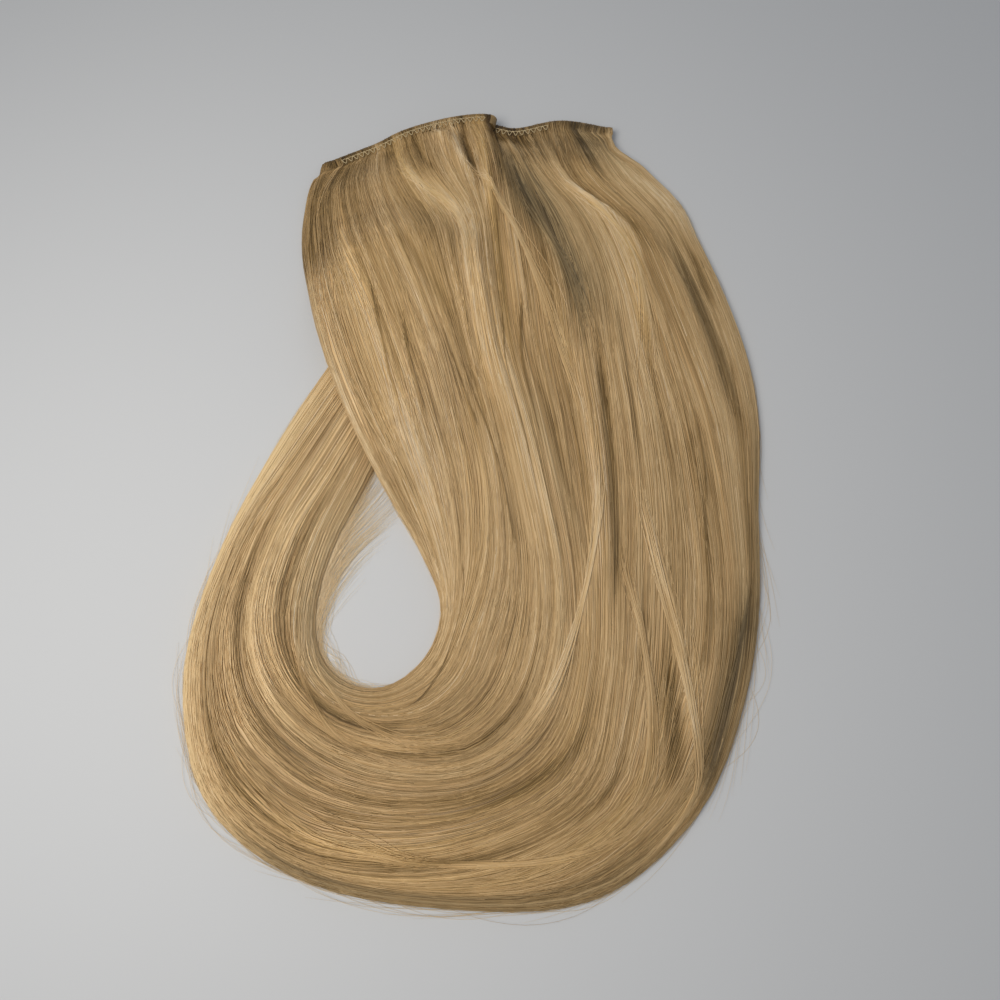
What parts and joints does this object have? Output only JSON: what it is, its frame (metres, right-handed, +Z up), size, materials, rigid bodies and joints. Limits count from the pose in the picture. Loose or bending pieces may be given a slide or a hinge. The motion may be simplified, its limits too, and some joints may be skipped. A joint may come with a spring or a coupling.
{
  "type": "clip in hair extension",
  "caption": "Clip-in hair extension lying flat: a folded stitched weft with long straight hair that curls round an open eye, its tips tucked under itself.",
  "frame": {"origin": "middle of the laid hair's bounding box, on the surface that it lies on", "axes": "+Z up from the surface, +Y along the laid hair's length towards the weft, +X to the right seen from above"},
  "size_m": [0.235, 0.3423, 0.0282],
  "materials": {
    "hair": "silky, ash to golden blonde strands",
    "weft": "matt, stitched",
    "clip": "satin"
  },
  "bodies": {
    "root": {"front_hair": "hair", "back_hair": "hair", "weft_band": "weft", "snap_clip_1": "clip", "snap_clip_2": "clip", "snap_clip_3": "clip"}
  },
  "joints": []
}
